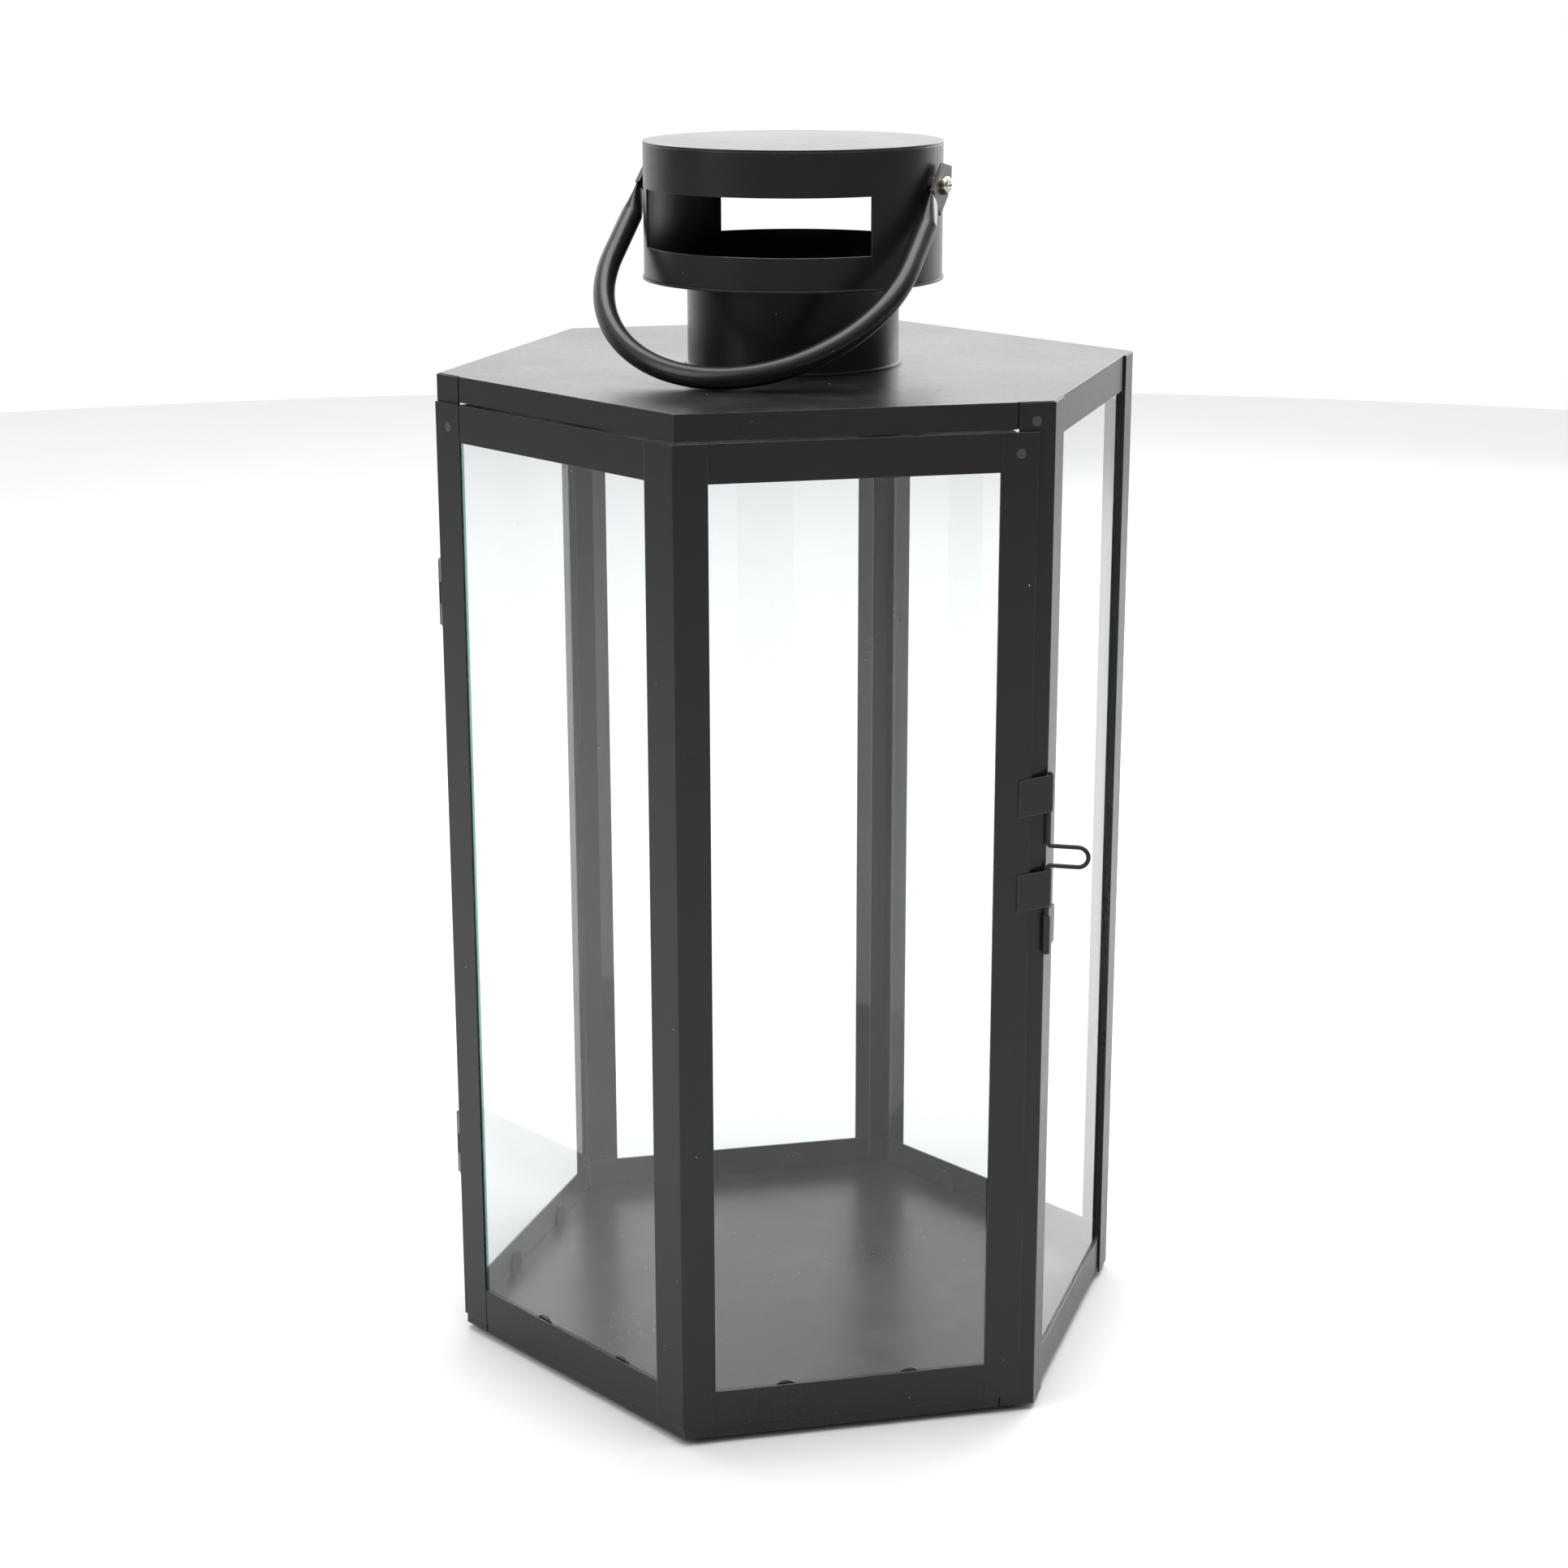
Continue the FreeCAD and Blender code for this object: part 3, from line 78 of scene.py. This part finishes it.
class Look:
    """A material or world, with short ways to add nodes to it."""

    def __init__(self, name, owner=None):
        self.owner = owner or bpy.data.materials.new(name)
        self.owner.use_nodes = True
        self.tree = self.owner.node_tree
        self.tree.nodes.clear()
        self.place = None

    def add(self, kind, inputs=None, **settings):
        """A node of this kind; an input may be a number, a colour or another node's output."""
        node = self.tree.nodes.new(kind)
        for key, setting in settings.items():
            setattr(node, key, setting)
        for key, given in (inputs or {}).items():
            if isinstance(given, bpy.types.NodeSocket):
                self.tree.links.new(given, node.inputs[key])
            else:
                node.inputs[key].default_value = given
        return node

    def where(self):
        """The point on the surface in the object's own metres."""
        if self.place is None:
            self.place = self.add("ShaderNodeTexCoord").outputs["Object"]
        return self.place

    def sum_of(self, operation, first, second=0.0, third=0.0):
        """Plain arithmetic on one, two or three values."""
        return self.add("ShaderNodeMath", {0: first, 1: second, 2: third}, operation=operation).outputs[0]

    def ramp(self, given, low, high, start=0.0, end=1.0):
        """A value carried smoothly from the span low to high into the span start to end."""
        return self.add(
            "ShaderNodeMapRange",
            {"Value": given, "From Min": low, "From Max": high, "To Min": start, "To Max": end},
            interpolation_type="SMOOTHSTEP",
        ).outputs["Result"]

    def noise(self, scale, detail=2.0, rough=0.5, where=None):
        """Smooth noise between 0 and 1."""
        return self.add(
            "ShaderNodeTexNoise",
            {"Vector": where or self.where(), "Scale": scale, "Detail": detail, "Roughness": rough},
        ).outputs["Fac"]

    def specks(self, scale, size, share):
        """Small round specks: a cell holds one where its own random number is below the share."""
        cells = self.add("ShaderNodeTexVoronoi", {"Vector": self.where(), "Scale": scale})
        dice = self.add("ShaderNodeSeparateColor", {"Color": cells.outputs["Color"]})
        reach = self.ramp(dice.outputs["Green"], 0.0, 1.0, size * 0.4, size)
        spot = self.sum_of("LESS_THAN", cells.outputs["Distance"], reach)
        chosen = self.sum_of("LESS_THAN", dice.outputs["Red"], share)
        return self.sum_of("MULTIPLY", spot, chosen)

    def blend(self, factor, first, second):
        """A colour between two others."""
        node = self.add("ShaderNodeMix", data_type="RGBA")
        for index, given in ((0, factor), (6, first), (7, second)):
            if isinstance(given, bpy.types.NodeSocket):
                self.tree.links.new(given, node.inputs[index])
            else:
                node.inputs[index].default_value = given
        return node.outputs[2]

    def rounded(self, radius):
        """The normal as if edges were rounded, and how near an edge the point is."""
        soft = self.add("ShaderNodeBevel", {"Radius": radius}, samples=6).outputs["Normal"]
        flat = self.add("ShaderNodeNewGeometry").outputs["Normal"]
        agree = self.add("ShaderNodeVectorMath", {0: soft, 1: flat}, operation="DOT_PRODUCT")
        return soft, self.ramp(agree.outputs["Value"], 0.995, 0.86)

    def bumped(self, height, distance, strength, normal):
        """The normal tilted by a height field."""
        return self.add(
            "ShaderNodeBump",
            {"Height": height, "Distance": distance, "Strength": strength, "Normal": normal},
        ).outputs["Normal"]

    def facing_up(self):
        """1 on level surfaces seen from above, 0 on walls."""
        normal = self.add("ShaderNodeTexCoord").outputs["Normal"]
        parts = self.add("ShaderNodeSeparateXYZ", {"Vector": normal})
        return self.ramp(parts.outputs["Z"], 0.7, 0.98)

    def surface(self, shader):
        """Sends a shader to the material's output."""
        end = self.add("ShaderNodeOutputMaterial")
        self.tree.links.new(shader, end.inputs["Surface"])
        return self.owner


def grey(level, warm=0.0):
    """A grey colour, a little warmer or cooler."""
    return (level * (1 + warm), level, level * (1 - warm), 1.0)


# ---------------------------------------------------------------- materials

# Colour the edges are lightened towards: a painted edge highlight, which also stands for rubbed wear.
PAINTED_EDGE_HIGHLIGHT_AND_WEAR = grey(0.16, 0.01)
DUST_SPECK = grey(0.42, 0.02)
DUST_FILM = grey(0.5, 0.02)
EDGE_ROUND = 0.0005  # rounding that the light sees on the edges of painted sheet
METAL_EDGE_ROUND = 0.00025
RUBBER_EDGE_ROUND = 0.0004
COAT_IOR = 1.38
GLASS_IOR = 1.5
PANE_TINT = (0.938, 0.948, 0.952, 1.0)
CUT_EDGE_TINT = (0.25, 0.47, 0.42, 1.0)
CUT_EDGE_HAZE = 0.12
FACE_SHARE = 0.7  # a pane's own faces look this nearly along its angle, its cut edges don't
REFLECTION = 1.25  # strength of the reflections on the near side of a pane


def black_coat(name, level, rough, peel, dust, edge_highlight_and_wear):
    """Satin black powder coat: fine orange peel, uneven sheen, settled dust, and edges lightened by a
    painted highlight broken into patches like rubbed wear.
    """
    look = Look(name)
    normal, edge = look.rounded(EDGE_ROUND)
    cloud = look.noise(9.0, 4.0, 0.6)
    fine = look.noise(260.0, 2.0, 0.6)
    base = look.blend(cloud, grey(level * 0.7, -0.02), grey(level * 1.35, -0.02))
    # Painted edge highlight: the edges are lightened in patches, as if rubbed, by the amount the caller
    # gives.
    edge_highlight_and_wear_mask = look.sum_of("MULTIPLY", edge, look.ramp(look.noise(70.0, 3.0, 0.7), 0.42, 0.68, 0.25, 1.0))
    base = look.blend(look.sum_of("MULTIPLY", edge_highlight_and_wear_mask, edge_highlight_and_wear), base, PAINTED_EDGE_HIGHLIGHT_AND_WEAR)
    up = look.facing_up()
    share = look.sum_of("MULTIPLY_ADD", up, dust * 0.4, dust)
    speck = look.specks(230.0, 0.085, share)
    base = look.blend(look.sum_of("MULTIPLY", speck, 0.75), base, DUST_SPECK)
    patches = look.ramp(look.noise(38.0, 5.0, 0.7), 0.45, 0.8, 0.0, 0.03 + dust * 0.2)
    film = look.sum_of("MULTIPLY", up, patches)
    base = look.blend(film, base, DUST_FILM)
    sheen = look.sum_of("MULTIPLY_ADD", look.sum_of("SUBTRACT", cloud, 0.5), 0.16, rough)
    sheen = look.sum_of("MULTIPLY_ADD", look.sum_of("SUBTRACT", fine, 0.5), 0.08, sheen)
    sheen = look.sum_of("MULTIPLY_ADD", speck, 0.3, sheen)
    bump = look.bumped(look.noise(900.0, 2.0, 0.5), 0.00002, peel, normal)
    shader = look.add(
        "ShaderNodeBsdfPrincipled",
        {"Base Color": base, "Roughness": sheen, "Normal": bump, "IOR": COAT_IOR},
    )
    return look.surface(shader.outputs[0])


def metal(name, colour, rough, scratch):
    """Plated metal with fine turning marks, a few dull stains and a painted highlight on its edges."""
    look = Look(name)
    normal, edge = look.rounded(METAL_EDGE_ROUND)
    stain = look.noise(420.0, 4.0, 0.65)
    dull = tuple(part * 0.55 for part in colour[:3]) + (1.0,)
    base = look.blend(look.ramp(stain, 0.45, 0.75), colour, dull)
    # Painted highlight: the edges are lightened towards pale grey.
    base = look.blend(look.sum_of("MULTIPLY", edge, 0.35), base, grey(0.8, 0.01))
    sheen = look.sum_of("MULTIPLY_ADD", look.sum_of("SUBTRACT", stain, 0.5), 0.3, rough)
    bump = look.bumped(look.noise(2600.0, 3.0, 0.6), 0.00001, scratch, normal)
    shader = look.add(
        "ShaderNodeBsdfPrincipled",
        {"Base Color": base, "Metallic": 1.0, "Roughness": sheen, "Normal": bump},
    )
    return look.surface(shader.outputs[0])


def rubber(name):
    """Matt black rubber with a fine moulded grain and a faint painted highlight on its edges."""
    look = Look(name)
    normal, edge = look.rounded(RUBBER_EDGE_ROUND)
    grain = look.noise(1400.0, 3.0, 0.6)
    base = look.blend(look.noise(60.0, 3.0, 0.6), grey(0.012), grey(0.03))
    # Painted highlight: the edges are lightened towards dark grey.
    base = look.blend(look.sum_of("MULTIPLY", edge, 0.4), base, grey(0.07))
    sheen = look.sum_of("MULTIPLY_ADD", grain, 0.2, 0.62)
    bump = look.bumped(grain, 0.00004, 0.6, normal)
    shader = look.add("ShaderNodeBsdfPrincipled", {"Base Color": base, "Roughness": sheen, "Normal": bump})
    return look.surface(shader.outputs[0])


def clear_glass(name, angle):
    """Window glass whose faces look along this angle; its cut edges are green and cloudy."""
    look = Look(name)
    normal = look.add("ShaderNodeTexCoord").outputs["Normal"]
    out = (math.cos(math.radians(angle)), math.sin(math.radians(angle)), 0.0)
    along = look.add("ShaderNodeVectorMath", {0: normal, 1: out}, operation="DOT_PRODUCT").outputs["Value"]
    edge = look.sum_of("LESS_THAN", look.sum_of("ABSOLUTE", along), FACE_SHARE)
    smear = look.ramp(look.noise(16.0, 5.0, 0.65), 0.4, 0.8)
    tint = look.blend(edge, PANE_TINT, CUT_EDGE_TINT)
    clear = look.add("ShaderNodeBsdfTransparent", {"Color": tint}).outputs[0]
    polish = look.sum_of("MULTIPLY_ADD", smear, 0.03, 0.012)
    mirror = look.add("ShaderNodeBsdfGlossy", {"Color": grey(1.0), "Roughness": polish}).outputs[0]
    behind = look.add("ShaderNodeNewGeometry").outputs["Backfacing"]
    front = look.sum_of("MULTIPLY_ADD", behind, -REFLECTION, REFLECTION)
    rim = look.add("ShaderNodeFresnel", {"IOR": GLASS_IOR}).outputs[0]
    share = look.sum_of("MULTIPLY", rim, front)
    glass = look.add("ShaderNodeMixShader", {0: share, 1: clear, 2: mirror}).outputs[0]
    dust = look.add("ShaderNodeBsdfDiffuse", {"Color": grey(0.8)}).outputs[0]
    motes = look.sum_of("MULTIPLY", look.specks(150.0, 0.05, 0.25), 0.4)
    haze = look.sum_of("MULTIPLY_ADD", smear, 0.006, motes)
    haze = look.sum_of("MAXIMUM", haze, look.sum_of("MULTIPLY", edge, CUT_EDGE_HAZE))
    return look.surface(look.add("ShaderNodeMixShader", {0: haze, 1: glass, 2: dust}).outputs[0])


# Name of the pane, and the angle its face looks along.
PANES = {
    "pane_right": -30.0,
    "pane_back_right": 30.0,
    "pane_back_left": 90.0,
    "pane_left": 150.0,
    "door_pane_side": -150.0,
    "door_pane_front": -90.0,
}


def dress():
    """Gives every node of the lantern its material."""
    # The last setting of each coat is the strength of its painted edge highlight, which also stands for
    # rubbed wear.
    coat = black_coat("black_coat", level=0.009, rough=0.30, peel=0.2, dust=0.04, edge_highlight_and_wear=0.5)
    floor_coat = black_coat("dusty_black_coat", level=0.012, rough=0.30, peel=0.12, dust=0.09, edge_highlight_and_wear=0.6)
    fittings = black_coat("fittings_coat", level=0.012, rough=0.34, peel=0.6, dust=0.05, edge_highlight_and_wear=0.9)
    tube = black_coat("tube_paint", level=0.008, rough=0.30, peel=0.25, dust=0.03, edge_highlight_and_wear=0.2)
    wire = black_coat("wire_paint", level=0.009, rough=0.30, peel=0.3, dust=0.02, edge_highlight_and_wear=0.6)
    zinc = metal("zinc_plate", (0.62, 0.59, 0.50, 1.0), rough=0.30, scratch=0.4)
    steel = metal("pin_steel", (0.35, 0.34, 0.33, 1.0), rough=0.38, scratch=0.5)
    feet = rubber("foot_rubber")
    wears = {
        "base_tray": floor_coat,
        "pane_tabs": floor_coat,
        "hinge_leaves": fittings,
        "hinge_knuckles": fittings,
        "latch_straps": fittings,
        "latch_keeper": fittings,
        "latch_bolt": wire,
        "bail_handle": tube,
        "pivot_screws": zinc,
        "pivot_nuts_outer": zinc,
        "pivot_nuts_inner": zinc,
        "hinge_pins": steel,
        "feet": feet,
    }
    for name, piece in nodes.items():
        material = clear_glass(f"glass_{name}", PANES[name]) if name in PANES else wears.get(name, coat)
        for place in piece.material_slots:
            place.material = material


# ---------------------------------------------------------------- studio

BACK_WAY = 77.5  # direction of the bright wall behind the lantern
FLOOR_RADIUS = 3.0
FLOOR_DROP = 0.0002  # keeps the feet and the floor from sharing a plane
FLOOR_SIDES = 96
PAPER_DARK = grey(0.58)
PAPER_LIGHT = grey(0.61)
WHITE = grey(1.0)

# Name, place, point it shines at, width, height, power in watts.
LAMPS = (
    ("lamp_top", (0.1, 0.0, 2.4), (0.0, 0.0, 0.0), 1.8, 1.8, 68.0),
    ("lamp_left", (-1.7, -0.5, 1.3), (0.0, 0.0, 0.3), 0.8, 1.3, 14.0),
    ("lamp_right", (1.5, 1.3, 1.2), (0.0, 0.0, 0.3), 1.2, 1.6, 20.0),
)


def make_floor():
    """A round sheet of plain pale paper under the lantern."""
    floor = bpy.data.meshes.new("floor")
    form = bmesh.new()
    bmesh.ops.create_circle(form, cap_ends=True, segments=FLOOR_SIDES, radius=FLOOR_RADIUS)
    form.to_mesh(floor)
    form.free()
    ground = bpy.data.objects.new("floor", floor)
    ground.location.z = -FLOOR_DROP
    bpy.context.collection.objects.link(ground)
    look = Look("floor_paper")
    paper = look.blend(look.noise(3.0, 3.0, 0.5), PAPER_DARK, PAPER_LIGHT)
    shader = look.add("ShaderNodeBsdfPrincipled", {"Base Color": paper, "Roughness": 0.9})
    floor.materials.append(look.surface(shader.outputs[0]))


def make_backdrop():
    """A plain white backdrop: the metal mirrors it bright behind and overhead, and dim in front."""
    world = bpy.data.worlds.new("studio")
    bpy.context.scene.world = world
    look = Look("studio", world)
    way = look.add("ShaderNodeTexCoord").outputs["Generated"]
    back = (math.cos(math.radians(BACK_WAY)), math.sin(math.radians(BACK_WAY)), 0.0)
    behind = look.add("ShaderNodeVectorMath", {0: way, 1: back}, operation="DOT_PRODUCT").outputs["Value"]
    above = look.add("ShaderNodeSeparateXYZ", {"Vector": way}).outputs["Z"]
    wall = look.sum_of("MULTIPLY", look.ramp(behind, 0.1, 0.75), look.ramp(above, -0.1, 0.3, 1.2, 2.3))
    ceiling = look.ramp(above, 0.25, 0.9, 0.18, 1.2)
    light = look.sum_of("MAXIMUM", wall, ceiling)
    seen = look.add("ShaderNodeLightPath").outputs["Is Camera Ray"]
    plain = look.add("ShaderNodeBackground", {"Color": WHITE, "Strength": 1.0}).outputs[0]
    lit = look.add("ShaderNodeBackground", {"Color": WHITE, "Strength": light}).outputs[0]
    both = look.add("ShaderNodeMixShader", {0: seen, 1: lit, 2: plain}).outputs[0]
    end = look.add("ShaderNodeOutputWorld")
    look.tree.links.new(both, end.inputs["Surface"])


def make_lamps():
    """Three soft lamps: overhead, left of the camera, and behind on the right."""
    for name, place, target, width, height, power in LAMPS:
        data = bpy.data.lights.new(name, "AREA")
        data.shape = "RECTANGLE"
        data.size = width
        data.size_y = height
        data.energy = power
        lamp = bpy.data.objects.new(name, data)
        lamp.location = place
        lamp.rotation_euler = (Vector(target) - Vector(place)).to_track_quat("-Z", "Y").to_euler()
        lamp.visible_camera = False
        bpy.context.collection.objects.link(lamp)


# ---------------------------------------------------------------- marks of the spot welds

POST_FACE = -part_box("post_latch_side")[0][1]
STILE_FACE = -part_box("door_latch_stile")[0][1]

# Body it rides on, face from the middle of the lantern, turn of that face, place along it, height.
WELD_SPOTS = (
    ("cage", POST_FACE, 0.0, 0.0719, 0.4494),
    ("door", STILE_FACE, 0.0, 0.0652, 0.4364),
    ("door", STILE_FACE, -60.0, -0.0708, 0.4349),
)
# Radius of each ring of a mark and how far it stands out, from its rim to its middle.
WELD_RINGS = ((0.0021, 0.0), (0.00175, 0.00005), (0.0013, 0.00009), (0.0008, 0.00004))
WELD_MIDDLE_RISE = 0.00002
WELD_SIDES = 28


def add_weld_mark(form, apothem, degrees, along, height):
    """Adds one round mark to a mesh, on the face that looks along -Y before it is turned."""
    turn = Matrix.Rotation(math.radians(degrees), 3, "Z")
    rings = []
    for radius, rise in WELD_RINGS:
        ring = []
        for step in range(WELD_SIDES):
            angle = math.tau * step / WELD_SIDES
            place = (along + radius * math.cos(angle), -apothem - rise, height + radius * math.sin(angle))
            ring.append(form.verts.new(turn @ Vector(place)))
        rings.append(ring)
    middle = form.verts.new(turn @ Vector((along, -apothem - WELD_MIDDLE_RISE, height)))
    for outer, inner in zip(rings, rings[1:]):
        for step in range(WELD_SIDES):
            after = (step + 1) % WELD_SIDES
            form.faces.new((outer[step], outer[after], inner[after], inner[step]))
    for step in range(WELD_SIDES):
        form.faces.new((rings[-1][step], rings[-1][(step + 1) % WELD_SIDES], middle))


def make_weld_spots(body):
    """The shallow ringed marks where this body's folded sheets are spot-welded together."""
    form = bmesh.new()
    for owner, *mark in WELD_SPOTS:
        if owner == body:
            add_weld_mark(form, *mark)
    for face in form.faces:
        face.smooth = True
    mesh = bpy.data.meshes.new(f"weld_spots_{body}")
    form.to_mesh(mesh)
    form.free()
    mesh.materials.append(bpy.data.materials["black_coat"])
    piece = bpy.data.objects.new(f"weld_spots_{body}", mesh)
    bpy.context.collection.objects.link(piece)
    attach(piece, body)


bpy.context.scene.view_settings.view_transform = "Standard"
make_camera()
make_floor()
make_backdrop()
make_lamps()
dress()
for body in ("cage", "door"):
    make_weld_spots(body)
